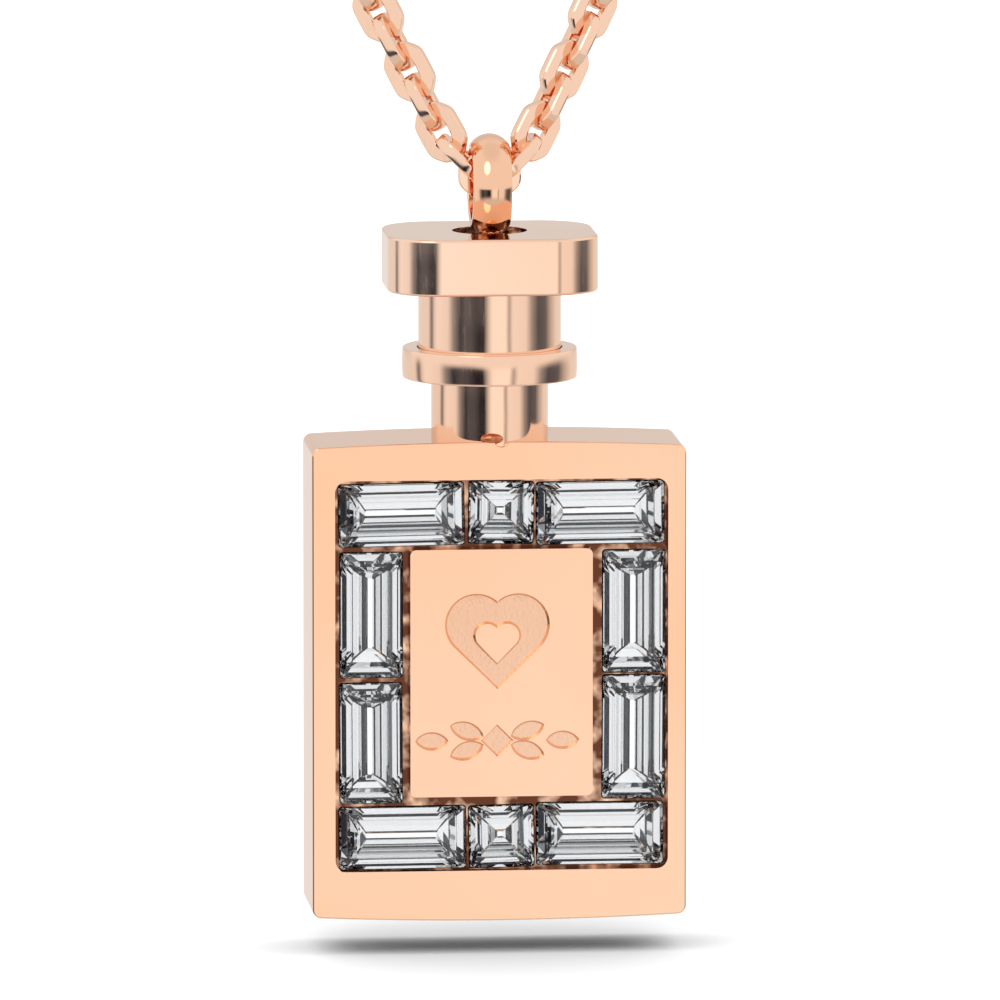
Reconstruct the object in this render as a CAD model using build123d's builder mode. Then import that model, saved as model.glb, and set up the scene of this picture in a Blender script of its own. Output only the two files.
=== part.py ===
from build123d import *
import math
import os

# Perfume bottle pendant on a cable chain, in millimetres, +Z up, seen from -Y.
# The origin lies on the chain's centre line at the nape, at the middle of the clasp.

# Driving dimensions of the bottle
case_width = 16.0
case_height = 20.6
case_depth = 5.2
case_corner = 0.35
case_bow = 0.2
case_edge = 0.06
neck_offset = 0.2

# Channel for the stones, and the raised plate in its middle
channel_width = 14.24
channel_height = 16.82
channel_corner = 0.5
channel_x = 0.1
channel_z = 0.27
seat_depth = 0.62
plate_width = 7.8
plate_height = 10.64
plate_corner = 0.25
plate_x = 0.09
plate_z = 0.37

# Stones: a table, a crown, a thin girdle and a pavilion in two steps, with cut corners
table_depth = 0.1
girdle_height = 0.1
pavilion_step = 0.62
pavilion_depth = 1.25
crown_inset_long = 0.72
crown_inset_short = 0.46
pavilion_inset_long = 0.6
pavilion_inset_short = 0.4
keel_share = 0.56
keel_width = 0.2
table_corner = 0.1
girdle_corner = 0.16
pavilion_corner = 0.12
keel_corner = 0.04
baguette_side = 2.65
square_side = 2.75
longest_short_side = 2.85
pocket_spare = 0.04
pocket_depth = 2.05

# Ornament cut into the plate
cut_depth = 0.2
heart_side = 2.52
inner_heart_side = 1.2
heart_x = -0.09
heart_z = 1.55
sprig_x = -0.1
sprig_z = -2.54
lozenge_side = 0.86
leaf_width = 0.62
leaf_tilt = 45.0

# Neck and collar, turned in one and soldered to the case
neck_radius = 2.5
neck_height = 2.5
neck_root = 0.5
collar_radius = 3.67
collar_bulge = 0.08
collar_height = 1.3
collar_bore = 3.3
collar_seat = 0.4
solder_radius = 0.42
solder_x = -0.1
solder_inside = 0.28
solder_above = 0.02
nick_radius = 0.33
nick_x = 0.3
nick_outside = 0.05
nick_above = 0.08

# Stopper: a round plug below a cushion-shaped cap
plug_radius = 3.05
cap_width = 9.0
cap_depth = 7.4
cap_corner = 2.25
cap_bottom = 6.36
cap_top = 8.78
cap_edge = 0.15
dimple_radius = 1.6
dimple_depth = 0.28

# Ring on top of the stopper
ring_outer = 2.2
ring_bore = 1.5
ring_width = 1.65
ring_shoulder = 0.25
ring_foot_gap = 0.03
peg_radius = 0.5
peg_length = 1.6
peg_in_band = 0.3
peg_clearance = 0.05

# Chain and clasp
chain_radius = 0.8
bend_radius = 1.62
bend_share = 0.45
vertex_half = 1.025
vertex_y = -99.0
vertex_z = -126.37
vertex_above_case = 10.73
leg_slope = (0.509, 0.29, 1.0)
leg_length = 54.0
clasp_radius = 1.6
clasp_half = 4.6
clasp_round = 0.7
eye_outer = 1.25
eye_bore = 0.62
eye_thickness = 0.66
eye_sunk = 0.1
chain_end_gap = 0.05

# Sizes worked out from those above
case_top = vertex_z - vertex_above_case
case_middle = case_top - case_height / 2
case_front = vertex_y - case_depth / 2
ring_centre = case_top + cap_top - dimple_depth + ring_outer + ring_foot_gap
eye_centre = clasp_half + eye_outer - eye_sunk
chain_end = eye_centre + eye_outer + chain_end_gap


def face_plane(depth=0.0, x=0.0, z=0.0, turn=0.0):
    """A plane at a depth below the case's front face, facing the viewer, at x and z from its centre."""
    angle = math.radians(turn)
    return Plane(
        origin=(neck_offset + x, case_front + depth, case_middle + z),
        x_dir=(math.cos(angle), 0, math.sin(angle)),
        z_dir=(0, -1, 0),
    )


def level(height, x=0.0):
    """A level plane at a height above the case's top, centred on the neck's axis."""
    return Plane(origin=(x, vertex_y, case_top + height), x_dir=(1, 0, 0), z_dir=(0, 0, 1))


# Stones as they are set, by hand and a little uneven: centre on the front face, size and turn in degrees
stone_columns = ("name", "x", "z", "width", "height", "turn")
stone_rows = (
    ("top_left", -4.15, 7.15, 5.35, baguette_side, 0.8),
    ("top_middle", 0.12, 7.21, square_side, baguette_side, -1.0),
    ("top_right", 4.36, 7.16, 5.45, baguette_side, 0.4),
    ("left_upper", -5.44, 2.85, baguette_side, 5.35, 0.0),
    ("left_lower", -5.46, -2.66, baguette_side, 5.15, 0.3),
    ("right_upper", 5.80, 2.90, baguette_side, 5.25, 0.0),
    ("right_lower", 5.79, -2.51, baguette_side, 5.30, -0.3),
    ("bottom_left", -4.11, -6.75, 5.40, baguette_side, 0.3),
    ("bottom_middle", 0.13, -6.74, square_side, baguette_side, 1.2),
    ("bottom_right", 4.34, -6.66, 5.40, baguette_side, 0.0),
)
stones = [dict(zip(stone_columns, row)) for row in stone_rows]


def pavilion_sections(stone, spare=0.0, depth=seat_depth + pavilion_depth):
    """The stone's eight-sided sections from its girdle to its keel, wider by a spare on every side."""
    girdle = [stone["width"] + 2 * spare, stone["height"] + 2 * spare]
    middle = []
    keel = []
    for size in girdle:
        long = size > longest_short_side
        middle.append(size - 2 * (pavilion_inset_long if long else pavilion_inset_short))
        keel.append(size * keel_share if long else keel_width)
    return [
        (seat_depth, *girdle, girdle_corner),
        (seat_depth + pavilion_step, *middle, pavilion_corner),
        (depth, *keel, keel_corner),
    ]


def crown_sections(stone):
    """The stone's eight-sided sections from its table down to the bottom of its girdle."""
    girdle = [stone["width"], stone["height"]]
    table = []
    for size in girdle:
        long = size > longest_short_side
        table.append(size - 2 * (crown_inset_long if long else crown_inset_short))
    return [
        (table_depth, *table, table_corner),
        (seat_depth - girdle_height, *girdle, girdle_corner),
        (seat_depth, *girdle, girdle_corner),
    ]


def facets(stone, sections, mode=Mode.ADD):
    """Joins neighbouring sections by flat facets in the current part."""
    outlines = []
    for depth, wide, high, corner in sections:
        plane = face_plane(depth, stone["x"], stone["z"], stone["turn"])
        with BuildSketch(plane, mode=Mode.PRIVATE) as section:
            Rectangle(wide, high)
            chamfer(section.vertices(), corner)
        outlines.append(section.sketch)
    for upper, lower in zip(outlines, outlines[1:]):
        loft([upper, lower], ruled=True, mode=mode)


# Leaves on each side of the lozenge: distance from its middle, height above it and length
leaf_columns = ("away", "lift", "length")
leaf_rows = (
    (1.3, 0.42, 1.35),
    (1.3, -0.42, 1.35),
    (2.8, 0.0, 1.25),
)
leaves = [dict(zip(leaf_columns, row)) for row in leaf_rows]


def heart(side, mode=Mode.ADD):
    """A heart in the current sketch: a square stood on its corner with a half circle on each upper side."""
    lobe = side / (2 * math.sqrt(2))
    Rectangle(side, side, rotation=45, mode=mode)
    with Locations((-lobe, lobe), (lobe, lobe)):
        Circle(side / 2, mode=mode)


def leaf(length):
    """A pointed leaf lying along the current sketch's X axis: the lens that two arcs enclose."""
    with BuildSketch(mode=Mode.PRIVATE) as blade:
        with BuildLine():
            ThreePointArc((-length / 2, 0), (0, leaf_width / 2), (length / 2, 0))
            ThreePointArc((length / 2, 0), (0, -leaf_width / 2), (-length / 2, 0))
        make_face()
    return blade.sketch


# Case: one cast block with the channel and the seats cut into it, and the neck soldered on top
with BuildPart() as case:
    with BuildSketch(face_plane(case_depth)):
        with BuildLine():
            side = case_width / 2
            shoulder = case_height / 2 - case_bow
            ThreePointArc((-side, shoulder), (0, case_height / 2), (side, shoulder))
            Line((side, shoulder), (side, -shoulder))
            ThreePointArc((side, -shoulder), (0, -case_height / 2), (-side, -shoulder))
            Line((-side, -shoulder), (-side, shoulder))
        outline = make_face()
        fillet(outline.vertices(), case_corner)
    extrude(amount=case_depth)
    rims = case.faces().filter_by(Axis.Y).edges()
    fillet(rims, case_edge)
    with BuildSketch(face_plane(seat_depth)):
        with Locations((channel_x, channel_z)):
            RectangleRounded(channel_width, channel_height, channel_corner)
        with Locations((plate_x, plate_z)):
            RectangleRounded(plate_width, plate_height, plate_corner, mode=Mode.SUBTRACT)
    extrude(amount=seat_depth, mode=Mode.SUBTRACT)
    for stone in stones:
        facets(stone, pavilion_sections(stone, pocket_spare, pocket_depth), Mode.SUBTRACT)
    with BuildSketch(face_plane(cut_depth)):
        with Locations((heart_x, heart_z)):
            heart(heart_side)
        with Locations((heart_x, heart_z)):
            heart(inner_heart_side, Mode.SUBTRACT)
        with Locations((sprig_x, sprig_z)):
            Rectangle(lozenge_side, lozenge_side, rotation=45)
        for hand in (-1, 1):
            for row in leaves:
                blade = leaf(row["length"])
                place = (sprig_x + hand * row["away"], sprig_z + row["lift"], 0)
                turn = (0, 0, hand * row["lift"] * leaf_tilt)
                with Locations(Location(place, turn)):
                    add(blade)
    extrude(amount=cut_depth, mode=Mode.SUBTRACT)
    with BuildSketch(Plane(origin=(0, vertex_y, case_top), x_dir=(1, 0, 0), z_dir=(0, -1, 0))):
        with BuildLine():
            collar_low = neck_height
            collar_high = neck_height + collar_height
            floor = collar_high - collar_seat
            Polyline(
                (0, floor),
                (0, -neck_root),
                (neck_radius, -neck_root),
                (neck_radius, collar_low),
                (collar_radius, collar_low),
            )
            ThreePointArc(
                (collar_radius, collar_low),
                (collar_radius + collar_bulge, (collar_low + collar_high) / 2),
                (collar_radius, collar_high),
            )
            Polyline(
                (collar_radius, collar_high),
                (collar_bore, collar_high),
                (collar_bore, floor),
                (0, floor),
            )
        make_face()
    revolve(axis=Axis((0, vertex_y, case_top), (0, 0, 1)))
    with Locations((solder_x, case_front + solder_inside, case_top + solder_above)):
        Sphere(solder_radius)
    with Locations((nick_x, case_front - nick_outside, case_top + nick_above)):
        Sphere(nick_radius, mode=Mode.SUBTRACT)
case.part.label = "case"

# Stopper: the plug stands in the collar, and the cap has a dimple and a hole for the ring's peg
with BuildPart() as stopper:
    with BuildSketch(level(cap_bottom)):
        RectangleRounded(cap_width, cap_depth, cap_corner)
    extrude(amount=cap_top - cap_bottom)
    fillet(stopper.faces().filter_by(Axis.Z).edges(), cap_edge)
    with BuildSketch(level(neck_height + collar_height - collar_seat)):
        Circle(plug_radius)
    extrude(amount=cap_bottom + cap_edge - neck_height - collar_height + collar_seat)
    with BuildSketch(level(cap_top - dimple_depth)):
        Circle(dimple_radius)
    extrude(amount=dimple_depth, mode=Mode.SUBTRACT)
    with BuildSketch(level(cap_top - dimple_depth - peg_length - peg_clearance)):
        Circle(peg_radius + peg_clearance)
    extrude(amount=peg_length + peg_clearance, mode=Mode.SUBTRACT)
stopper.part.label = "stopper"

# Ring: flat inside and domed outside, with its hole along X, on a short peg
with BuildPart() as bail_ring:
    half_width = ring_width / 2
    with BuildSketch(Plane(origin=(0, vertex_y, ring_centre), x_dir=(1, 0, 0), z_dir=(0, -1, 0))):
        with BuildLine():
            Polyline(
                (-half_width, ring_bore + ring_shoulder),
                (-half_width, ring_bore),
                (half_width, ring_bore),
                (half_width, ring_bore + ring_shoulder),
            )
            ThreePointArc(
                (half_width, ring_bore + ring_shoulder),
                (0, ring_outer),
                (-half_width, ring_bore + ring_shoulder),
            )
        make_face()
    revolve(axis=Axis((0, vertex_y, ring_centre), (1, 0, 0)))
    with BuildSketch(level(cap_top - dimple_depth - peg_length)):
        Circle(peg_radius)
    extrude(amount=peg_length + peg_in_band)
bail_ring.part.label = "bail_ring"

# Stones, all cut alike: eight-sided sections joined by flat facets
stone_parts = []
for stone in stones:
    with BuildPart() as gem:
        facets(stone, crown_sections(stone) + pavilion_sections(stone)[1:])
    gem.part.label = "stone_" + stone["name"]
    stone_parts.append(gem.part)

# Chain: the space that its links fill, as a tube from one eye of the clasp round to the other
leg_foot = Vector(vertex_half, vertex_y, vertex_z)
half_route = [
    leg_foot,
    leg_foot + Vector(*leg_slope).normalized() * leg_length,
    Vector(41.6, -68.5, -47.5),
    Vector(53.0, -52.5, -26.8),
    Vector(58.0, -34.0, -12.3),
    Vector(53.6, -16.5, -4.0),
    Vector(40.3, -4.8, -0.8),
    Vector(23.0, -0.6, 0.0),
    Vector(chain_end, 0.0, 0.0),
]
route = [Vector(-point.X, point.Y, point.Z) for point in reversed(half_route)] + half_route
bend_radii = []
for before, corner, after in zip(route, route[1:], route[2:]):
    run_in = corner - before
    run_out = after - corner
    half_turn = math.radians(run_in.get_angle(run_out)) / 2
    radius = bend_share * min(run_in.length, run_out.length) / math.tan(half_turn)
    if abs(corner.X) < 2 * vertex_half:
        radius = bend_radius
    bend_radii.append(radius)
with BuildPart() as chain:
    with BuildLine() as centre_line:
        FilletPolyline(*route, radius=bend_radii)
    path = centre_line.wire()
    with BuildSketch(Plane(origin=path @ 0, z_dir=path % 0)):
        Circle(chain_radius)
    sweep(path=path)
chain.part.label = "chain"

# Clasp: one plain barrel with an eye at each end
with BuildPart() as clasp:
    with BuildSketch(Plane(origin=(-clasp_half, 0, 0), x_dir=(0, 1, 0), z_dir=(1, 0, 0))):
        Circle(clasp_radius)
    extrude(amount=2 * clasp_half)
    fillet(clasp.edges().filter_by(GeomType.CIRCLE), clasp_round)
    with BuildSketch(Plane(origin=(0, eye_thickness / 2, 0), x_dir=(1, 0, 0), z_dir=(0, -1, 0))):
        for hand in (-1, 1):
            with Locations((hand * eye_centre, 0)):
                Circle(eye_outer)
                Circle(eye_bore, mode=Mode.SUBTRACT)
    extrude(amount=eye_thickness)
clasp.part.label = "clasp"

# Each piece is written to a file of its own
os.makedirs("parts", exist_ok=True)
for piece in [case.part, stopper.part, bail_ring.part, chain.part, clasp.part] + stone_parts:
    export_step(piece, "parts/" + piece.label + ".step")

# Sizes to compare with the real thing
tube_volume = math.pi * chain_radius**2 * path.length
print("bend radii", [round(radius, 1) for radius in bend_radii])
print("loop length", round(path.length + 2 * chain_end, 1))
print("tube volume over section times length", round(chain.part.volume / tube_volume, 4))
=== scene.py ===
import math

import bmesh
import bpy
from mathutils import Matrix, Vector


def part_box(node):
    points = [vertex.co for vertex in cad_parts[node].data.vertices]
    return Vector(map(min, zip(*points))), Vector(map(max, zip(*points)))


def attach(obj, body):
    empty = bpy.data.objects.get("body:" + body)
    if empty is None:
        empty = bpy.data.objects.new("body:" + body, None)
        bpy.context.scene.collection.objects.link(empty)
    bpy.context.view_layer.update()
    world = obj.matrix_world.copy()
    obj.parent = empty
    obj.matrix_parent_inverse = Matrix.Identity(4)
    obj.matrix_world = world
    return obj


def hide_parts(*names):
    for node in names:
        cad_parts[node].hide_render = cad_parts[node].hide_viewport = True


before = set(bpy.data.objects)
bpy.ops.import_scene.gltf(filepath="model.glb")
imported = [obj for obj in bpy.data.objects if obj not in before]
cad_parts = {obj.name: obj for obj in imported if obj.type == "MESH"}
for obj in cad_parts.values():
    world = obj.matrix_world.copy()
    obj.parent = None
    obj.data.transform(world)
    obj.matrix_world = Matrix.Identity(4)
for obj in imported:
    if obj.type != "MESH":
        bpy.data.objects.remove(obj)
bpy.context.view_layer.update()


# Case: one cast block of steel, ground flat, polished and plated in rose gold.
# A channel is cut into its front round a raised plate, with a pocket under each stone.
# The ornament is sunk into the plate, and its floor is left matt and grained.

mm = 0.001


coplanar_angle = 0.3
sharp_angle = 35


def box_of(node):
    """The lowest and highest corners of a CAD node, in millimetres."""
    return [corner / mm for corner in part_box(node)]


case_low, case_high = box_of("case")
case_width = case_high.x - case_low.x
case_height = 20.6
case_depth = 5.2
case_corner = 0.35
case_bow = 0.2
case_rim = 0.06
axis_y = (case_low.y + case_high.y) / 2
case_top = case_low.z + case_height
case_front = axis_y - case_depth / 2
case_middle = Vector(((case_low.x + case_high.x) / 2, axis_y, case_low.z + case_height / 2))
channel_width = 14.24
channel_height = 16.82
channel_corner = 0.5
channel_place = (0.1, 0.27)
channel_depth = 0.62
plate_width = 7.8
plate_height = 10.64
plate_corner = 0.25
plate_place = (0.09, 0.37)
pocket_spare = 0.04
pocket_depth = 2.05
pocket_corner = 0.16
arris = 0.035
bow_steps = 24

# The stones as they are set: place from the front face's middle and size in millimetres, turn in degrees
stone_columns = ("name", "x", "z", "width", "height", "turn")
stone_rows = (
    ("top_left", -4.15, 7.15, 5.35, 2.65, 0.8),
    ("top_middle", 0.12, 7.21, 2.75, 2.65, -1.0),
    ("top_right", 4.36, 7.16, 5.45, 2.65, 0.4),
    ("left_upper", -5.44, 2.85, 2.65, 5.35, 0.0),
    ("left_lower", -5.46, -2.66, 2.65, 5.15, 0.3),
    ("right_upper", 5.80, 2.90, 2.65, 5.25, 0.0),
    ("right_lower", 5.79, -2.51, 2.65, 5.30, -0.3),
    ("bottom_left", -4.11, -6.75, 5.40, 2.65, 0.3),
    ("bottom_middle", 0.13, -6.74, 2.75, 2.65, 1.2),
    ("bottom_right", 4.34, -6.66, 5.40, 2.65, 0.0),
)
stones = [dict(zip(stone_columns, row)) for row in stone_rows]


def add(name, primitive, **settings):
    """Adds a primitive with nothing else selected, and leaves its place in its mesh."""
    bpy.ops.object.select_all(action="DESELECT")
    primitive(**settings)
    piece = bpy.context.object
    piece.name = name
    piece.data.name = name
    bpy.ops.object.transform_apply(location=True, rotation=True, scale=True)
    return piece


def pick(piece, parts, test):
    """In edit mode, selects only the vertices, edges or faces that pass a test."""
    bpy.ops.mesh.select_mode(type={"verts": "VERT", "edges": "EDGE", "faces": "FACE"}[parts])
    bpy.ops.mesh.select_all(action="DESELECT")
    mesh = bmesh.from_edit_mesh(piece.data)
    for part in getattr(mesh, parts):
        if test(part):
            part.select_set(True)
    mesh.select_flush_mode()
    bmesh.update_edit_mesh(piece.data)


def along(axis):
    """A test for edges that lie along an axis, 0 for X, 1 for Y and 2 for Z."""
    return lambda edge: abs((edge.verts[1].co - edge.verts[0].co).normalized()[axis]) > 0.999


def block(name, size, centre, axis, corner, segments):
    """A box whose four edges along one axis are rounded."""
    piece = add(name, bpy.ops.mesh.primitive_cube_add, size=1, location=centre, scale=size)
    bpy.ops.object.mode_set(mode="EDIT")
    pick(piece, "edges", along(axis))
    bpy.ops.mesh.bevel(offset=corner, segments=segments, affect="EDGES")
    bpy.ops.object.mode_set(mode="OBJECT")
    return piece


def use(piece, kind, **settings):
    """Adds a modifier and applies it."""
    modifier = piece.modifiers.new(kind.lower(), kind)
    for name, setting in settings.items():
        setattr(modifier, name, setting)
    bpy.context.view_layer.objects.active = piece
    bpy.ops.object.modifier_apply(modifier=modifier.name)


def work(piece, tool, operation="DIFFERENCE"):
    """Cuts a tool out of a piece, or adds it, and throws the tool away."""
    use(piece, "BOOLEAN", object=tool, operation=operation, solver="MANIFOLD")
    bpy.data.objects.remove(tool)


def to_metres(piece):
    """Brings a finished mesh from millimetres to the frame's metres."""
    piece.data.transform(Matrix.Scale(mm, 4))


def join(pieces):
    """Makes one object of several, each with its own faces."""
    bpy.ops.object.select_all(action="DESELECT")
    for piece in pieces:
        piece.select_set(True)
    bpy.context.view_layer.objects.active = pieces[0]
    bpy.ops.object.join()
    return pieces[0]


def turn_about(piece, angle, centre, axis="Y"):
    """Turns a piece's mesh about a point."""
    centre = Vector(centre)
    turn = Matrix.Rotation(angle, 4, axis)
    piece.data.transform(Matrix.Translation(centre) @ turn @ Matrix.Translation(-centre))


def polish(piece, material, width=arris, smooth=40):
    """Breaks the sharp edges, smooths flatter ones than an angle and gives the piece its material."""
    bpy.ops.object.select_all(action="DESELECT")
    piece.select_set(True)
    bpy.context.view_layer.objects.active = piece
    if width:
        bpy.ops.object.mode_set(mode="EDIT")
        bpy.ops.mesh.select_all(action="SELECT")
        bpy.ops.mesh.dissolve_limited(angle_limit=math.radians(coplanar_angle))
        bpy.ops.object.mode_set(mode="OBJECT")
        use(
            piece,
            "BEVEL",
            width=width,
            segments=2,
            limit_method="ANGLE",
            angle_limit=math.radians(sharp_angle),
            miter_outer="MITER_ARC",
            loop_slide=False,
        )
    bpy.ops.object.shade_smooth_by_angle(angle=math.radians(smooth))
    use(piece, "WEIGHTED_NORMAL", keep_sharp=True)
    piece.data.materials.clear()
    piece.data.materials.append(material)
    to_metres(piece)


class Value:
    """A socket of a shader. Arithmetic on values adds Math nodes."""

    def __init__(self, tree, socket=None):
        self.tree = tree
        self.socket = socket

    def node(self, kind, settings=None, inputs=None, output=0):
        """Adds a node, sets it, fills its sockets and gives one of its outputs."""
        made = self.tree.nodes.new("ShaderNode" + kind)
        for name, setting in (settings or {}).items():
            if name == "stops":
                ramp = made.color_ramp.elements
                while len(ramp) < len(setting):
                    ramp.new(0.5)
                for stop, (position, level) in zip(ramp, setting):
                    stop.position = position
                    stop.color = (level, level, level, 1.0)
            else:
                setattr(made, name, setting)
        for name, given in (inputs or {}).items():
            if isinstance(given, Value):
                self.tree.links.new(given.socket, made.inputs[name])
            else:
                made.inputs[name].default_value = given
        return Value(self.tree, made.outputs[output])

    def maths(self, operation, first, second=0.0):
        return self.node("Math", {"operation": operation}, {0: first, 1: second})

    def __add__(self, other):
        return self.maths("ADD", self, other)

    def __sub__(self, other):
        return self.maths("SUBTRACT", self, other)

    def __rsub__(self, other):
        return self.maths("SUBTRACT", other, self)

    def __mul__(self, other):
        return self.maths("MULTIPLY", self, other)

    def __truediv__(self, other):
        return self.maths("DIVIDE", self, other)

    def __gt__(self, other):
        return self.maths("GREATER_THAN", self, other)

    def __lt__(self, other):
        return self.maths("LESS_THAN", self, other)

    __radd__ = __add__
    __rmul__ = __mul__


def new_material(name):
    """A material with its shader, and a value that starts its expressions."""
    made = bpy.data.materials.new(name)
    made.use_nodes = True
    return made, made.node_tree.nodes["Principled BSDF"], Value(made.node_tree)


def axes_of(vector):
    """The three components of a vector, each as a value."""
    split = vector.node("SeparateXYZ", {}, {"Vector": vector})
    return [Value(vector.tree, split.socket.node.outputs[axis]) for axis in "XYZ"]


def feed(start, shader, **sockets):
    """Links values to the shader's sockets, whose names are written with underscores."""
    for name, value in sockets.items():
        start.tree.links.new(value.socket, shader.inputs[name.replace("_", " ")])


def on_face(x, z, depth=0.0):
    """A point on the case's front face from millimetres right of and above its middle."""
    return Vector((case_middle.x + x, case_front + depth, case_middle.z + z))


# Colours of the plating, and how fine its patterns are and how far they rise, in metres
rose = (0.925, 0.535, 0.335, 1.0)
pale_rose = (0.940, 0.600, 0.415, 1.0)
blush = (0.945, 0.660, 0.505, 1.0)
edge_tint = (1.0, 0.97, 0.93, 1.0)
# Painted shade: a brown-black colour that darkens the channel and the stopper's dimple, where shade falls
shade_colour = (0.13, 0.045, 0.024, 1.0)
cloud_scale = 70.0
hair_scale = 9000.0
hair_stretch = 0.06
hair_rise = 1.5e-8
haze_scale = 700.0
wave_scale = 330.0
grain_scale = 7500.0
grain_rise = 0.9e-5
# Painted shade: how fine its patches are, how far they rise, and the depths behind the front face where it
# lies in the channel
shade_patch_scale = 1100.0
shade_patch_rise = 2.0e-5
grain_depths = (0.17, 0.3)
shade_depths = (0.1, 2.2)
recess_rim = 0.1


def between(value, low, high):
    """One where a value lies between two bounds in millimetres, and nothing elsewhere."""
    return (value > low * mm) * (value < high * mm)


def within(across, up, place, width, height):
    """One inside a rectangle on the front face, and nothing outside it."""
    left, low = case_middle.x + place[0] - width / 2, case_middle.z + place[1] - height / 2
    return between(across, left, left + width) * between(up, low, low + height)


def case_recesses(across, deep, up):
    """Where the case's ornament is grained, and where shade is painted into its channel."""
    on_plate = within(across, up, plate_place, plate_width - recess_rim, plate_height - recess_rim)
    grained = on_plate * between(deep, *(case_front + depth for depth in grain_depths))
    in_channel = within(across, up, channel_place, channel_width + recess_rim, channel_height + recess_rim)
    # Painted shade: the channel's floor, its walls and the gaps between the stones are darkened, where shade
    # falls
    painted_shade = in_channel * (1 - on_plate) * between(deep, *(case_front + depth for depth in shade_depths))
    return grained, painted_shade


def rose_gold(name, gloss, wave, recesses=None, tints=(rose, pale_rose)):
    """Polished rose gold plating: faint waves left by the wheel, hairlines and a little haze."""
    made, shader, start = new_material(name)
    place = start.node("TexCoord", output="Object")
    cloud = start.node("TexNoise", {}, {"Vector": place, "Scale": cloud_scale, "Detail": 1.0})
    cloud = start.node("MapRange", {}, {"Value": cloud, "From Min": 0.3, "From Max": 0.7})
    tint = start.node(
        "Mix", {"data_type": "RGBA"}, {"Factor": cloud, 6: tints[0], 7: tints[1]}, output=2
    )
    drawn = start.node("Mapping", {}, {"Vector": place, "Scale": (1.0, 1.0, hair_stretch)})
    hairs = start.node("TexNoise", {}, {"Vector": drawn, "Scale": hair_scale, "Detail": 3.0})
    haze = start.node("TexNoise", {}, {"Vector": place, "Scale": haze_scale, "Detail": 3.0})
    roughness = gloss + 0.05 * haze + 0.03 * (hairs > 0.62)
    waves = start.node("TexNoise", {}, {"Vector": place, "Scale": wave_scale, "Detail": 1.0})
    height = waves * wave + hairs * hair_rise
    if recesses:
        grained, painted_shade = recesses(*axes_of(place))
        dots = start.node("TexVoronoi", {"feature": "SMOOTH_F1"}, {"Vector": place, "Scale": grain_scale})
        # Painted shade: the masked recess is darkened in patches towards a brown-black colour, where shade
        # falls. The same patches also roughen it and raise it a little.
        shade_patches = start.node("TexNoise", {}, {"Vector": place, "Scale": shade_patch_scale, "Detail": 2.0})
        shade_patches = start.node("MapRange", {}, {"Value": shade_patches, "From Min": 0.68, "From Max": 0.46})
        tint = start.node(
            "Mix", {"data_type": "RGBA"}, {"Factor": painted_shade * shade_patches, 6: tint, 7: shade_colour}, output=2
        )
        height = height + grained * dots * grain_rise + painted_shade * shade_patches * shade_patch_rise
        roughness = roughness + grained * 0.20 + painted_shade * 0.08
    bump = start.node("Bump", {}, {"Height": height, "Distance": 1.0, "Strength": 1.0})
    shader.inputs["Metallic"].default_value = 1.0
    shader.inputs["Specular Tint"].default_value = edge_tint
    feed(start, shader, Base_Color=tint, Roughness=roughness, Normal=bump)
    return made


def sunk_block(name, width, height, place, depth, corner, proud=0.5):
    """A tool for a recess in the front face, standing a little proud of it."""
    centre = on_face(*place, (depth - proud) / 2)
    return block(name, (width, depth + proud, height), centre, axis=1, corner=corner, segments=6)


case = block(
    "case_body",
    (case_width, case_depth, case_height - 2 * case_bow),
    case_middle,
    axis=1,
    corner=case_corner,
    segments=14,
)
bpy.ops.object.mode_set(mode="EDIT")
pick(case, "edges", lambda edge: along(0)(edge) and edge.calc_length() > case_width / 2)
bpy.ops.mesh.subdivide(number_cuts=bow_steps - 1)
bpy.ops.object.mode_set(mode="OBJECT")
for vertex in case.data.vertices:
    share = (vertex.co.x - case_middle.x) / (case_width / 2)
    vertex.co.z += math.copysign(case_bow * (1 - share**2), vertex.co.z - case_middle.z)
bpy.ops.object.mode_set(mode="EDIT")
pick(case, "edges", lambda edge: abs(edge.verts[0].co.y - edge.verts[1].co.y) < 1e-4)
bpy.ops.mesh.bevel(offset=case_rim, segments=4, affect="EDGES")
bpy.ops.object.mode_set(mode="OBJECT")

channel = sunk_block(
    "channel", channel_width, channel_height, channel_place, channel_depth, channel_corner
)
plate = sunk_block("plate", plate_width, plate_height, plate_place, 1.0, plate_corner, proud=1.0)
work(channel, plate)
work(case, channel)
pockets = []
for stone in stones:
    width = stone["width"] + 2 * pocket_spare
    height = stone["height"] + 2 * pocket_spare
    place = (stone["x"], stone["z"])
    pocket = sunk_block("pocket", width, height, place, pocket_depth, pocket_corner)
    turn_about(pocket, -math.radians(stone["turn"]), on_face(*place))
    pockets.append(pocket)
work(case, join(pockets))

# The ornament: a sunken heart round a raised one, over a lozenge between three leaves a side
cut_depth = 0.2
heart_side = 2.52
inner_heart_side = 1.2
heart_place = (-0.09, 1.55)
sprig_place = (-0.1, -2.54)
lozenge_side = 0.86
wall_draft = 0.45
lobe_steps = 24
leaf_steps = 12
leaf_width = 0.62
leaf_tilt = 45
leaf_columns = ("place", "lift", "length")
leaf_rows = (
    (1.3, 0.42, 1.35),
    (1.3, -0.42, 1.35),
    (2.8, 0.0, 1.25),
)
leaves = [dict(zip(leaf_columns, row)) for row in leaf_rows]


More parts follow.
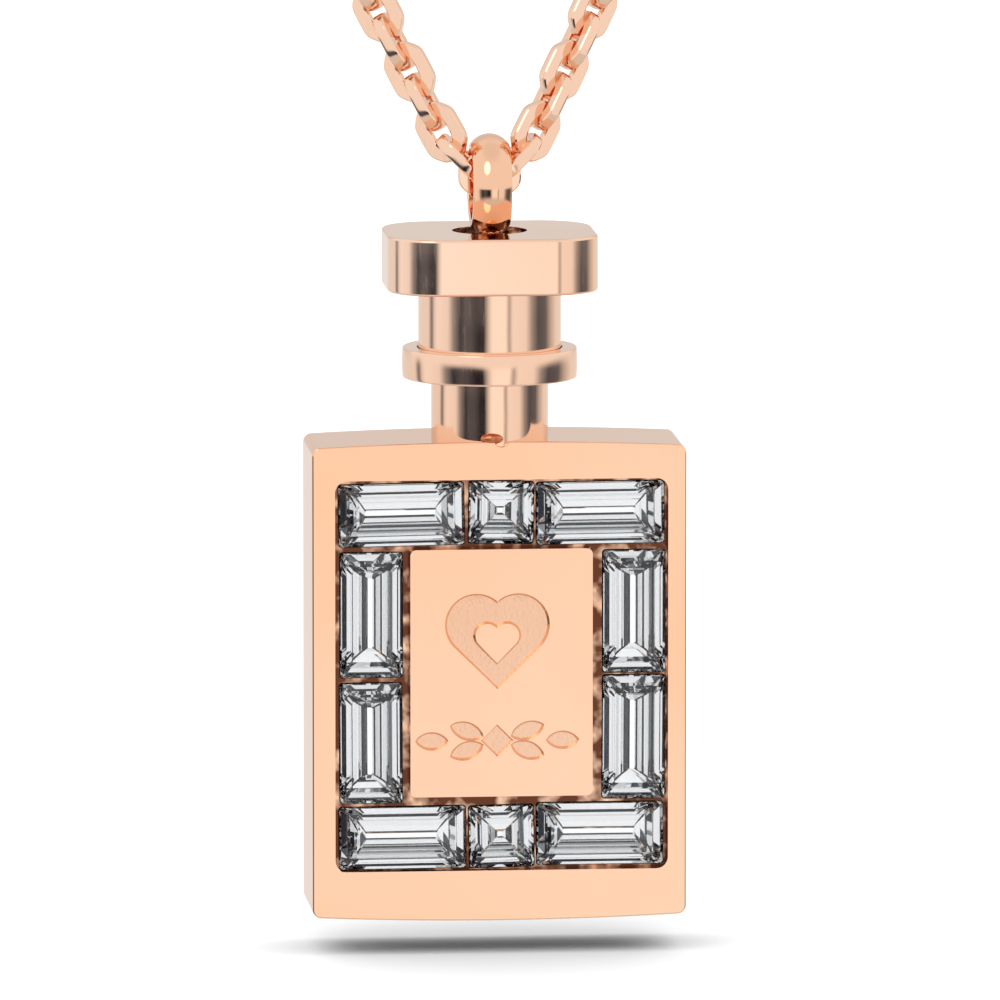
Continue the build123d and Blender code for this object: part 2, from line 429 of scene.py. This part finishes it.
def prism(name, outline, draft=wall_draft, low=-0.1, high=cut_depth):
    """A tool from an outline of (x, z) points at the cut's floor, wider outwards by its draft."""
    tool = add(
        name,
        bpy.ops.mesh.primitive_cylinder_add,
        vertices=len(outline),
        radius=1,
        depth=high - low,
        location=on_face(0, 0, (low + high) / 2),
        rotation=(math.pi / 2, 0, 0),
    )
    for index, vertex in enumerate(tool.data.vertices):
        corner = index // 2
        before, after = Vector(outline[corner - 1]), Vector(outline[(corner + 1) % len(outline)])
        way = (after - before).normalized()
        spread = draft * (cut_depth - (vertex.co.y - case_front))
        vertex.co.x = case_middle.x + outline[corner][0] + way.y * spread
        vertex.co.z = case_middle.z + outline[corner][1] - way.x * spread
    bpy.ops.object.mode_set(mode="EDIT")
    bpy.ops.mesh.select_all(action="SELECT")
    bpy.ops.mesh.normals_make_consistent(inside=False)
    bpy.ops.object.mode_set(mode="OBJECT")
    return tool


def arc(centre, radius, start, end, steps):
    """Points on an arc between two angles in degrees."""
    angles = [math.radians(start + (end - start) * step / steps) for step in range(steps + 1)]
    return [(centre[0] + radius * math.cos(a), centre[1] + radius * math.sin(a)) for a in angles]


def heart(side):
    """The outline of a heart: a square on its corner with a half circle on each upper side."""
    lobe = side / (2 * math.sqrt(2))
    x, z = heart_place
    return [
        (x, z - 2 * lobe),
        *arc((x + lobe, z + lobe), side / 2, -45, 135, lobe_steps)[:-1],
        *arc((x - lobe, z + lobe), side / 2, 45, 225, lobe_steps)[:-1],
        (x - 2 * lobe, z),
    ]


def leaf(place, lift, length, hand):
    """The outline of a pointed leaf between two arcs, tilted away from its stem."""
    radius = (length**2 + leaf_width**2) / (4 * leaf_width)
    reach = math.degrees(math.asin(length / 2 / radius))
    drop = radius - leaf_width / 2
    outline = [
        *arc((0, drop), radius, 270 - reach, 270 + reach, leaf_steps)[:-1],
        *arc((0, -drop), radius, 90 - reach, 90 + reach, leaf_steps)[:-1],
    ]
    tilt = math.radians(leaf_tilt) * hand * lift
    x = sprig_place[0] + hand * place
    z = sprig_place[1] + lift
    return [
        (x + across * math.cos(tilt) - up * math.sin(tilt), z + across * math.sin(tilt) + up * math.cos(tilt))
        for across, up in outline
    ]


heart_tool = prism("heart", heart(heart_side))
inner_heart = prism("inner_heart", heart(inner_heart_side), -wall_draft, -0.15, cut_depth + 0.05)
work(heart_tool, inner_heart)
work(case, heart_tool)
half_lozenge = lozenge_side / math.sqrt(2)
lozenge_outline = [
    (sprig_place[0] + half_lozenge * across, sprig_place[1] + half_lozenge * up)
    for across, up in ((0, -1), (1, 0), (0, 1), (-1, 0))
]
work(case, prism("lozenge", lozenge_outline))
for hand in (-1, 1):
    for row in leaves:
        work(case, prism("leaf", leaf(row["place"], row["lift"], row["length"], hand)))

nick_radius = 0.33
nick_place = Vector((0.3, case_front - 0.05, case_top + 0.08))
nick = add(
    "nick",
    bpy.ops.mesh.primitive_uv_sphere_add,
    segments=48,
    ring_count=24,
    radius=nick_radius,
    location=nick_place,
)
work(case, nick)

polish(case, rose_gold("case_rose_gold", gloss=0.05, wave=2.0e-6, recesses=case_recesses), smooth=8)
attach(case, "pendant")
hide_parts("case")


# Neck and collar: turned in one from bar, polished, plated and soldered to the case.
# A bead of solder shows at the foot of the neck.

neck_radius = 2.5
neck_height = 2.5
collar_radius = 3.72
collar_bulge = 0.025
collar_height = 1.3
collar_bore = 3.1
collar_seat = 0.4
bulge_steps = 10
neck_sunk = 0.4
turned_sides = 160


def turned(name, outline, centre, sides=turned_sides, closed=False):
    """Extrudes a circle through an outline of (radius, height) points above a centre."""
    centre = Vector(centre)
    radius, height = outline[0]
    start = centre + Vector((0, 0, height))
    piece = add(name, bpy.ops.mesh.primitive_circle_add, vertices=sides, radius=radius, location=start)
    bpy.ops.object.mode_set(mode="EDIT")
    bpy.ops.mesh.select_all(action="SELECT")
    for (wide, low), (next_wide, next_low) in zip(outline, outline[1:]):
        bpy.ops.mesh.extrude_region_move(TRANSFORM_OT_translate={"value": (0, 0, next_low - low)})
        share = next_wide / wide
        bpy.ops.transform.resize(value=(share, share, 1), center_override=centre)
    if closed:
        bpy.ops.mesh.select_all(action="SELECT")
        bpy.ops.mesh.remove_doubles(threshold=1e-4)
    else:
        bpy.ops.mesh.edge_face_add()
        pick(piece, "edges", lambda edge: edge.is_boundary)
        bpy.ops.mesh.edge_face_add()
    bpy.ops.mesh.select_all(action="SELECT")
    bpy.ops.mesh.normals_make_consistent(inside=False)
    bpy.ops.object.mode_set(mode="OBJECT")
    return piece


collar_middle = neck_height + collar_height / 2
bulge_radius = ((collar_height / 2) ** 2 + collar_bulge**2) / (2 * collar_bulge)
bulge_reach = math.degrees(math.asin(collar_height / 2 / bulge_radius))
bulge_centre = (collar_radius + collar_bulge - bulge_radius, collar_middle)
neck_outline = [
    (neck_radius, -neck_sunk),
    (neck_radius, neck_height),
    *arc(bulge_centre, bulge_radius, -bulge_reach, bulge_reach, bulge_steps),
    (collar_bore, neck_height + collar_height),
    (collar_bore, neck_height + collar_height - collar_seat),
]
neck = turned("neck_and_collar", neck_outline, (0, axis_y, case_top))
neck_gold = rose_gold("neck_rose_gold", gloss=0.05, wave=3.0e-5, tints=(pale_rose, blush))
polish(neck, neck_gold, width=0.05)
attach(neck, "pendant")
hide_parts("case")

solder_size = (0.52, 0.36, 0.27)
solder_place = Vector((-0.1, case_front + 0.28, case_top + 0.12))
burnt_copper = (0.34, 0.07, 0.03, 1.0)
bright_copper = (0.92, 0.38, 0.17, 1.0)
lump_rise = 6.0e-5
solder = add(
    "solder_bead",
    bpy.ops.mesh.primitive_uv_sphere_add,
    segments=48,
    ring_count=24,
    radius=1,
    scale=solder_size,
    location=solder_place,
)


def copper():
    """The solder's skin: redder than the plating, uneven and a little burnt."""
    made, shader, start = new_material("solder_copper")
    place = start.node("TexCoord", output="Object")
    scorch = start.node("TexNoise", {}, {"Vector": place, "Scale": 4000.0, "Detail": 3.0})
    tint = start.node(
        "Mix",
        {"data_type": "RGBA"},
        {"Factor": scorch, 6: burnt_copper, 7: bright_copper},
        output=2,
    )
    lumps = start.node("TexNoise", {}, {"Vector": place, "Scale": 2600.0, "Detail": 1.0})
    bump = start.node("Bump", {}, {"Height": lumps * lump_rise, "Distance": 1.0, "Strength": 1.0})
    shader.inputs["Metallic"].default_value = 1.0
    feed(start, shader, Base_Color=tint, Roughness=0.15 + 0.2 * scorch, Normal=bump)
    return made


polish(solder, copper(), width=None)
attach(solder, "pendant")
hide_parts("case")


# Stopper: milled from bar in one piece, a cushion-shaped cap on a round plug.
# The plug stands in the collar, and the ring's peg stands in a dimple in the cap.

stopper_low, stopper_high = box_of("stopper")
plug_radius = 3.05
cap_width = 9.0
cap_depth = 7.4
cap_height = 2.42
cap_corner = 2.25
cap_rim = 0.12
dimple_radius = 1.6
dimple_depth = 0.28
peg_radius = 0.5
peg_length = 1.6
peg_spare = 0.05
dimple_rim = 0.03

cap_middle = (0, axis_y, stopper_high.z - cap_height / 2)
cap_size = (cap_width, cap_depth, cap_height)
stopper = block("stopper_body", cap_size, cap_middle, axis=2, corner=cap_corner, segments=24)
bpy.ops.object.mode_set(mode="EDIT")
pick(stopper, "edges", lambda edge: abs(edge.verts[0].co.z - edge.verts[1].co.z) < 1e-4)
bpy.ops.mesh.bevel(offset=cap_rim, segments=4, affect="EDGES")
bpy.ops.object.mode_set(mode="OBJECT")


def upright(name, radius, low, high, sides=turned_sides):
    """An upright round bar on the neck's axis, between two heights."""
    return add(
        name,
        bpy.ops.mesh.primitive_cylinder_add,
        vertices=sides,
        radius=radius,
        depth=high - low,
        location=(0, axis_y, (low + high) / 2),
    )


cap_floor = stopper_high.z - dimple_depth
work(stopper, upright("plug", plug_radius, stopper_low.z, stopper_high.z - cap_height / 2), "UNION")
work(stopper, upright("dimple", dimple_radius, cap_floor, stopper_high.z + 1))
peg_low = cap_floor - peg_length
work(stopper, upright("peg_hole", peg_radius + peg_spare, peg_low - peg_spare, cap_floor + 1))


def stopper_recesses(across, deep, up):
    """Where shade is painted into the stopper's dimple."""
    from_axis = deep - axis_y * mm
    reach = across * across + from_axis * from_axis
    in_dimple = reach < ((dimple_radius + dimple_rim) * mm) ** 2
    # Painted shade: the dimple's floor and wall are darkened, where shade falls round the ring's foot
    return in_dimple * 0.0, in_dimple * between(up, cap_floor - 0.1, stopper_high.z - 0.04)


stopper_gold = rose_gold("stopper_rose_gold", 0.05, 1.0e-5, stopper_recesses, (pale_rose, blush))
polish(stopper, stopper_gold, width=0.04)
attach(stopper, "pendant")
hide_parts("stopper")


# Ring: a turned band, flat inside and domed outside, with its hole along X for the chain.
# It stands on a short peg in the stopper's dimple, soldered round its foot.

ring_low, ring_high = box_of("bail_ring")
ring_outer = 2.2
ring_bore = 1.5
ring_half = (ring_high.x - ring_low.x) / 2
ring_shoulder = 0.25
ring_edge = 0.07
peg_bite = 0.3
ring_centre = Vector((0, axis_y, ring_high.z - ring_outer))
dome_rise = ring_outer - ring_bore - ring_shoulder
dome_radius = (ring_half**2 + dome_rise**2) / (2 * dome_rise)
dome_reach = math.degrees(math.asin(ring_half / dome_radius))
ring_outline = [
    *arc((ring_bore + ring_edge, ring_edge - ring_half), ring_edge, 180, 270, 3),
    *arc((ring_outer - dome_radius, 0), dome_radius, -dome_reach, dome_reach, 20),
    *arc((ring_bore + ring_edge, ring_half - ring_edge), ring_edge, 90, 180, 3),
]
ring_outline.append(ring_outline[0])
ring = turned("ring", ring_outline, ring_centre, closed=True)
turn_about(ring, math.pi / 2, ring_centre)
work(ring, upright("peg", peg_radius, peg_low, ring_centre.z - ring_bore - peg_bite, 48), "UNION")
polish(ring, rose_gold("ring_rose_gold", gloss=0.05, wave=1.5e-5), width=0.03)
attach(ring, "pendant")
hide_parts("bail_ring")

# Beads of solder in the dimple: place right of the axis and in front of it, and radius
bead_rise = 0.7
bead_columns = ("across", "front", "radius")
bead_rows = (
    (-0.52, 0.62, 0.12),
    (-0.30, 0.78, 0.15),
    (-0.02, 0.84, 0.17),
    (0.27, 0.80, 0.14),
    (0.50, 0.66, 0.13),
)
beads = []
for row in bead_rows:
    bead = dict(zip(bead_columns, row))
    centre = (bead["across"], axis_y - bead["front"], cap_floor + bead_rise * bead["radius"])
    beads.append(
        add(
            "bead",
            bpy.ops.mesh.primitive_uv_sphere_add,
            segments=24,
            ring_count=12,
            radius=bead["radius"],
            location=centre,
        )
    )
foot = beads[0]
for bead in beads[1:]:
    work(foot, bead, "UNION")
foot.name = "ring_solder"
polish(foot, rose_gold("foot_solder", gloss=0.12, wave=3.0e-6), width=None)
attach(foot, "pendant")
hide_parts("bail_ring")


# Stones: step-cut white crystal baguettes and squares with silvered backs.
# Each is pressed into its pocket and held by its girdle on the channel's floor.

table_depth = 0.1
table_corner = 0.1
girdle_height = 0.1
girdle_top = channel_depth - girdle_height
pavilion_step = 0.62
pavilion_depth = 1.25
longest_square = 2.85
keel_share = 0.56
keel_width = 0.2


def mottled(name, colour, scale, detail):
    """A material of one colour, with a fine noise for its roughness."""
    made, shader, start = new_material(name)
    place = start.node("TexCoord", output="Object")
    spots = start.node("TexNoise", {}, {"Vector": place, "Scale": scale, "Detail": detail})
    shader.inputs["Base Color"].default_value = colour
    return made, shader, start, spots


def crystal():
    """Clear crystal, very slightly grey."""
    made, shader, start, smear = mottled("crystal", (0.945, 0.95, 0.955, 1.0), 900.0, 2.0)
    shader.inputs["Transmission Weight"].default_value = 1.0
    shader.inputs["IOR"].default_value = 1.6
    shader.inputs["Specular IOR Level"].default_value = 0.25
    feed(start, shader, Roughness=0.012 * smear)
    return made


def silvering():
    """The bright foil behind each stone, a little mottled."""
    made, shader, start, spots = mottled("silvering", (0.86, 0.865, 0.87, 1.0), 1500.0, 3.0)
    shader.inputs["Metallic"].default_value = 1.0
    feed(start, shader, Roughness=0.02 + 0.03 * spots)
    return made


def foil_edge():
    """The dark edge of the foil, seen round each stone's girdle."""
    made, shader, start, spots = mottled("foil_edge", (0.05, 0.052, 0.06, 1.0), 2500.0, 2.0)
    shader.inputs["Metallic"].default_value = 1.0
    feed(start, shader, Roughness=0.15 + 0.2 * spots)
    return made


crystal_clear = crystal()
silvered = silvering()
foil_dark = foil_edge()
stone_materials = (crystal_clear, silvered, foil_dark)

# Steps from the table to the last one above the keel: depth, and how far inside the girdle each
# step's ends lie along the stone and its sides across it
cut_columns = ("depth", "long_inset", "short_inset")
cut_rows = (
    (table_depth, 0.72, 0.46),
    (table_depth + 0.13, 0.44, 0.25),
    (girdle_top, 0.0, 0.0),
    (channel_depth, 0.0, 0.0),
    (channel_depth + 0.28, 0.19, 0.125),
    (channel_depth + pavilion_step, 0.6, 0.4),
    (channel_depth + 0.98, 0.92, 0.825),
)
cuts = [dict(zip(cut_columns, row)) for row in cut_rows]


def stone_sections(width, height):
    """Depth, width and height of the stone's sections, from its table to its keel."""
    sections = []
    for cut in cuts:
        sizes = []
        for size in (width, height):
            inset = cut["long_inset"] if size > longest_square else cut["short_inset"]
            sizes.append(size - 2 * inset)
        sections.append((cut["depth"], *sizes))
    keel = [size * keel_share if size > longest_square else keel_width for size in (width, height)]
    sections.append((channel_depth + pavilion_depth, *keel))
    return sections


def cut_stone(name, width, height):
    """Extrudes an eight-sided table through the stone's sections and closes it at the keel."""
    sections = stone_sections(width, height)
    depth, wide, high = sections[0]
    piece = add(
        name,
        bpy.ops.mesh.primitive_plane_add,
        size=1,
        location=on_face(0, 0, depth),
        rotation=(math.pi / 2, 0, 0),
    )
    bpy.ops.object.mode_set(mode="EDIT")
    bpy.ops.mesh.select_all(action="SELECT")
    bpy.ops.transform.resize(value=(wide, 1, high), center_override=on_face(0, 0, depth))
    bpy.ops.mesh.bevel(offset=table_corner, offset_type="WIDTH", segments=1, affect="VERTICES")
    for above, below in zip(sections, sections[1:]):
        bpy.ops.mesh.select_all(action="SELECT")
        level = case_front + above[0]
        pick(piece, "faces", lambda face: abs(face.calc_center_median().y - level) < 1e-3)
        bpy.ops.mesh.extrude_region_move(TRANSFORM_OT_translate={"value": (0, below[0] - above[0], 0)})
        shares = (below[1] / above[1], 1, below[2] / above[2])
        bpy.ops.transform.resize(value=shares, center_override=on_face(0, 0, below[0]))
    pick(piece, "edges", lambda edge: edge.is_boundary)
    bpy.ops.mesh.edge_face_add()
    bpy.ops.mesh.select_all(action="SELECT")
    bpy.ops.mesh.normals_make_consistent(inside=False)
    bpy.ops.object.mode_set(mode="OBJECT")
    for material in stone_materials:
        piece.data.materials.append(material)
    for face in piece.data.polygons:
        depth = face.center.y - case_front
        if depth > channel_depth + 1e-3:
            face.material_index = stone_materials.index(silvered)
        elif depth > girdle_top + 1e-3:
            face.material_index = stone_materials.index(foil_dark)
    return piece


for stone in stones:
    piece = cut_stone("gem_" + stone["name"], stone["width"], stone["height"])
    place = (stone["x"], stone["z"])
    turn_about(piece, -math.radians(stone["turn"]), on_face(0, 0))
    piece.data.transform(Matrix.Translation((place[0], 0, place[1])))
    to_metres(piece)
    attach(piece, "pendant")
    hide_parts("stone_" + stone["name"])


# Clasp: a plain barrel that the hair hides at the nape, with an eye soldered to each end.
# It is turned from rod, polished and plated like the chain.

barrel_radius = 1.595
barrel_half = 4.6
barrel_round = 0.7
end_hole = 0.3
eye_outer = 1.25
eye_bore = 0.62
eye_half = 0.33
eye_round = 0.3
eye_place = barrel_half + eye_outer - 0.1
seam_half = 0.09
seam_depth = 0.07

barrel_outline = [
    (end_hole, -barrel_half),
    *arc((barrel_radius - barrel_round, barrel_round - barrel_half), barrel_round, -90, 0, 8),
    (barrel_radius, -seam_half),
    (barrel_radius - seam_depth, -seam_half / 2),
    (barrel_radius - seam_depth, seam_half / 2),
    (barrel_radius, seam_half),
    *arc((barrel_radius - barrel_round, barrel_half - barrel_round), barrel_round, 0, 90, 8),
    (end_hole, barrel_half),
]
clasp = turned("clasp_barrel", barrel_outline, (0, 0, 0), 96)
turn_about(clasp, math.pi / 2, (0, 0, 0))
eye_outline = [
    *arc((eye_bore + eye_round, eye_round - eye_half), eye_round, 180, 270, 4),
    *arc((eye_outer - eye_round, eye_round - eye_half), eye_round, 270, 360, 4),
    *arc((eye_outer - eye_round, eye_half - eye_round), eye_round, 0, 90, 4),
    *arc((eye_bore + eye_round, eye_half - eye_round), eye_round, 90, 180, 4),
]
eye_outline.append(eye_outline[0])
for hand in (-1, 1):
    eye = turned("eye", eye_outline, (0, 0, 0), 64, closed=True)
    turn_about(eye, math.pi / 2, (0, 0, 0), "X")
    eye.data.transform(Matrix.Translation((hand * eye_place, 0, 0)))
    work(clasp, eye, "UNION")
polish(clasp, rose_gold("clasp_rose_gold", gloss=0.06, wave=1.5e-6), width=0.03)
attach(clasp, "necklace")
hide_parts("clasp")


# Chain: a flat-faced cable chain of soldered wire links, each a long octagon round an oval hole.
# The links are ground flat on both faces, polished and plated, and every other one is turned a
# quarter. They hold each other, the ring hangs on them, and the last ones hold the clasp's eyes.

link_half_width = 0.95
link_half_length = 1.345
hole_half_width = 0.385
hole_half_length = 0.755
hole_power = 2.4
link_half_height = 0.26
link_pitch = 1.457
first_step = 1.394
shoulder_across, shoulder_along = 0.757, 0.653
shoulder_reach = 1.185
corner_power = 16
link_turn = math.radians(17)
fine_steps = 12

leg_slope = Vector((0.509, 0.29, 1.0)).normalized()
leg_length = 54.0
leg_foot = ring_centre + Vector((1.025, 0, 0))
half_route = [
    ring_centre + Vector((0.395, 0.0, 0.40)),
    ring_centre + Vector((1.71, 0.36, 1.63)),
    ring_centre + Vector((2.395, 0.74, 2.96)),
    leg_foot + leg_slope * leg_length,
    Vector((41.6, -68.5, -47.5)),
    Vector((53.0, -52.5, -26.8)),
    Vector((58.0, -34.0, -12.3)),
    Vector((53.6, -16.5, -4.0)),
    Vector((40.3, -4.8, -0.8)),
    Vector((23.0, -0.6, 0.0)),
    Vector((7.05, 0.0, 0.0)),
]


def line_points(route):
    """Points along the smooth line that a route's points steer."""
    curve = bpy.data.curves.new("route", "CURVE")
    curve.dimensions = "3D"
    curve.resolution_u = 96
    spline = curve.splines.new("NURBS")
    spline.points.add(len(route) - 1)
    for point, place in zip(spline.points, route):
        point.co = (*place, 1.0)
    spline.order_u = 3
    spline.use_endpoint_u = True
    holder = bpy.data.objects.new("route", curve)
    mesh = bpy.data.meshes.new_from_object(holder)
    points = [vertex.co.copy() for vertex in mesh.vertices]
    bpy.data.objects.remove(holder)
    bpy.data.curves.remove(curve)
    bpy.data.meshes.remove(mesh)
    return points


def model_link(name, stations, profile):
    """One link round the origin, its length along Y and its flat faces towards Z."""
    link = add(
        name,
        bpy.ops.mesh.primitive_torus_add,
        major_segments=stations,
        minor_segments=len(profile),
        major_radius=1,
        minor_radius=0.3,
    )
    for index, vertex in enumerate(link.data.vertices):
        station, corner = divmod(index, len(profile))
        angle = 2 * math.pi * (station + 0.5) / stations
        across, along_it = math.cos(angle), math.sin(angle)
        flats = (
            abs(across) / link_half_width,
            (shoulder_across * abs(across) + shoulder_along * abs(along_it)) / shoulder_reach,
            abs(along_it) / link_half_length,
        )
        outer = sum(flat**corner_power for flat in flats) ** (-1 / corner_power)
        round_it = (abs(across) / hole_half_width, abs(along_it) / hole_half_length)
        hole = sum(part**hole_power for part in round_it) ** (-1 / hole_power)
        share, level = profile[corner]
        reach = hole + (outer - hole) * share
        vertex.co = (reach * across, reach * along_it, level * link_half_height)
    bpy.ops.object.mode_set(mode="EDIT")
    bpy.ops.mesh.select_all(action="SELECT")
    bpy.ops.mesh.normals_make_consistent(inside=False)
    bpy.ops.object.mode_set(mode="OBJECT")
    return link


# Sections of the wire: share of the way from the hole to the outside, and share of the half height
fine_face = ((1.0, 0.52), (0.975, 0.80), (0.88, 1.0), (0.16, 1.0), (0.04, 0.84), (0.0, 0.5))
plain_face = ((1.0, 0.6), (0.88, 1.0), (0.14, 1.0), (0.0, 0.6))


def both_faces(face):
    """A section from its upper half, with the same half mirrored below."""
    return (*face, *((share, -level) for share, level in reversed(face)))


whole_route = [Vector((-point.x, point.y, point.z)) for point in reversed(half_route)] + half_route
whole_line = line_points(whole_route)
lowest = min(whole_line, key=lambda point: abs(point.x) + point.z)
points = whole_line[whole_line.index(lowest) :]
lengths = [0.0]
for first, second in zip(points, points[1:]):
    lengths.append(lengths[-1] + (second - first).length)
steps = 2 * round((lengths[-1] / link_pitch - 1) / 2) + 1
spacing = (lengths[-1] - first_step) / (steps - 1)


def place_at(distance):
    """The point and the direction of the right half of the line, at a distance from the ring."""
    past = [index for index, length in enumerate(lengths) if length >= distance]
    index = max(1, past[0] if past else len(lengths) - 1)
    first, second = points[index - 1], points[index]
    share = (distance - lengths[index - 1]) / (lengths[index] - lengths[index - 1])
    return first.lerp(second, share), (second - first).normalized()


fine_link = model_link("fine_link", 48, both_faces(fine_face))
plain_link = model_link("plain_link", 16, both_faces(plain_face))
links = []
facing = Vector((0, -1, 0))
for step in range(steps + 1):
    place, way = place_at(first_step + (step - 1) * spacing if step else 0.0)
    facing = (facing - facing.dot(way) * way).normalized()
    turned_out = link_turn * min(1.0, step / 2)
    if step % 2:
        turned_out += math.pi / 2
    normal = Matrix.Rotation(turned_out, 3, way) @ facing
    across = way.cross(normal)
    model = fine_link if step < fine_steps else plain_link
    for hand in (-1, 1):
        if step == 0 and hand < 0:
            continue
        axes = Matrix((across, way, normal)).transposed().to_4x4()
        link = model.copy()
        link.data = model.data.copy()
        bpy.context.collection.objects.link(link)
        link.data.transform(Matrix.Translation(place) @ axes)
        if hand < 0:
            link.data.transform(Matrix.Scale(-1, 4, (1, 0, 0)))
            link.data.flip_normals()
        links.append(link)
bpy.data.objects.remove(fine_link)
bpy.data.objects.remove(plain_link)
chain = join(links)
chain.name = "chain_links"
chain_gold = rose_gold("chain_rose_gold", gloss=0.06, wave=4.0e-6, tints=(pale_rose, blush))
polish(chain, chain_gold, width=None, smooth=25)
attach(chain, "necklace")
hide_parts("chain")


# Floor: a plain white sheet just under the case, which the metal doesn't mirror.

floor_gap = 1.45
floor_place = Vector((0, 0, case_low.z - floor_gap)) * mm
floor = add("floor", bpy.ops.mesh.primitive_plane_add, size=40, location=floor_place)
sheet, sheet_shader, _ = new_material("white_sheet")
sheet_shader.inputs["Base Color"].default_value = (0.92, 0.92, 0.92, 1.0)
sheet_shader.inputs["Roughness"].default_value = 1.0
sheet_shader.inputs["Specular IOR Level"].default_value = 0.0
floor.data.materials.append(sheet)
floor.visible_glossy = False
floor.visible_transmission = False


# Light: white screens all round with dark gaps between them, and a broad soft lamp overhead.
# The gaps give the polished metal its dark lines.

# Round the horizon, the azimuth in degrees from the viewer and the level of the light. Then, for the
# light that leaves a stone, the level by how far its ray points right, and by how far it points up
screens = (
    (-180, 0.85), (-122, 0.88), (-113, 0.18), (-105, 0.85), (-98, 1.00), (-76, 0.92), (-66, 0.32),
    (-54, 0.04), (-44, 0.10), (-34, 0.09), (-22, 0.02), (-14, 0.03), (-6, 0.75), (0, 1.12),
    (21, 1.12), (27, 0.45), (33, 1.00), (56, 0.95), (68, 0.35), (80, 0.10), (98, 0.14), (112, 0.55),
    (130, 0.88), (180, 0.85),
)
slats_across = (
    (-1.0, 0.60), (-0.76, 0.80), (-0.70, 0.02), (-0.50, 0.01), (-0.45, 0.90), (-0.40, 0.80), (-0.36, 0.03),
    (-0.28, 0.02), (-0.24, 0.90), (0.17, 1.00), (0.21, 0.03), (0.30, 0.02), (0.34, 0.90), (0.50, 0.75),
    (0.55, 0.02), (0.78, 0.01), (0.83, 0.80), (1.0, 0.60),
)
slats_up = (
    (-1.0, 0.03), (-0.76, 0.05), (-0.70, 0.90), (-0.50, 0.80), (-0.45, 0.02), (-0.34, 0.02), (-0.29, 0.95),
    (-0.02, 0.90), (0.02, 0.05), (0.12, 0.04), (0.16, 0.90), (0.40, 0.80), (0.46, 0.03), (0.62, 0.03),
    (0.68, 0.95), (1.0, 0.95),
)
slat_level = 1.4
ceiling_level = 0.98
behind_drop = 0.24
top_drop = 0.12
ground_level = 0.75
softbox_way = (-0.42, -0.62, 0.66)
softbox_level = 1.1
world = bpy.data.worlds.new("screens")
bpy.context.scene.world = world
world.use_nodes = True
start = Value(world.node_tree)
look = start.node("TexCoord", output="Generated")
right, back, up = axes_of(look)
azimuth = start.maths("ARCTAN2", right, 0.0 - back) / (2 * math.pi) + 0.5
stops = [((angle + 180) / 360, level) for angle, level in screens]
around = start.node("ValToRGB", {"stops": stops}, {"Fac": azimuth})
smooth = {"interpolation_type": "SMOOTHSTEP"}
raised = start.node("MapRange", smooth, {"Value": up, "From Min": -0.12, "From Max": -0.05})
top = start.node("MapRange", smooth, {"Value": up, "From Min": 0.75, "From Max": 0.98})
under = start.node("MapRange", smooth, {"Value": up, "From Min": -0.30, "From Max": -0.50})
behind = start.node("MapRange", smooth, {"Value": back, "From Min": 0.5, "From Max": 0.9})
level = around * (1 - raised) + (ceiling_level - behind_drop * behind) * raised - top_drop * top
level = level * (1 - under) + ground_level * under
toward = start.node("VectorMath", {"operation": "DOT_PRODUCT"}, {0: look, 1: softbox_way}, output=1)
softbox = start.node("MapRange", smooth, {"Value": toward, "From Min": 0.955, "From Max": 0.975})
level = level + softbox_level * softbox
columns = [((place + 1) / 2, shade) for place, shade in slats_across]
columns = start.node("ValToRGB", {"stops": columns}, {"Fac": right * 0.5 + 0.5})
rows = [((place + 1) / 2, shade) for place, shade in slats_up]
rows = start.node("ValToRGB", {"stops": rows}, {"Fac": up * 0.5 + 0.5})
through = start.node("LightPath", output="Is Transmission Ray")
level = level * (1 - through) + slat_level * columns * rows * through
cool = start.node("MapRange", {}, {"Value": level, "From Min": 0.4, "From Max": 0.1})
tint = start.node(
    "Mix",
    {"data_type": "RGBA"},
    {"Factor": cool, 6: (1.0, 1.0, 1.0, 1.0), 7: (0.9, 1.0, 1.25, 1.0)},
    output=2,
)
seen = start.node("LightPath", output="Is Camera Ray")
scaled = start.node("VectorMath", {"operation": "SCALE"}, {0: tint, "Scale": level * (1 - seen)})
shown = start.node("VectorMath", {"operation": "ADD"}, {0: scaled, 1: seen})
world.node_tree.links.new(shown.socket, world.node_tree.nodes["Background"].inputs["Color"])

lamp_data = bpy.data.lights.new("overhead", "SUN")
lamp_data.energy = 1.5
lamp_data.angle = math.radians(125)
lamp = bpy.data.objects.new("overhead", lamp_data)
bpy.context.collection.objects.link(lamp)
lamp.rotation_euler = (math.radians(-6), math.radians(-2), 0)
lamp.visible_glossy = False
lamp.visible_transmission = False


# Camera: a long lens a little to the left of the pendant and above it.

camera_azimuth = math.radians(-5.0)
camera_elevation = math.radians(7.5)
camera_distance = 0.7095
camera_lens = 600
aim = Vector((0.22, case_front, case_middle.z + 7.81)) * mm
backwards = Vector(
    (
        math.sin(camera_azimuth) * math.cos(camera_elevation),
        -math.cos(camera_azimuth) * math.cos(camera_elevation),
        math.sin(camera_elevation),
    )
)
camera_data = bpy.data.cameras.new("camera")
camera_data.lens = camera_lens
camera_data.clip_start = 0.01
camera = bpy.data.objects.new("camera", camera_data)
bpy.context.collection.objects.link(camera)
camera.location = aim + backwards * camera_distance
camera.rotation_euler = backwards.to_track_quat("Z", "Y").to_euler()
scene = bpy.context.scene
scene.camera = camera
scene.view_settings.view_transform = "Standard"
scene.cycles.glossy_bounces = 12
scene.cycles.max_bounces = 16
scene.cycles.caustics_reflective = False
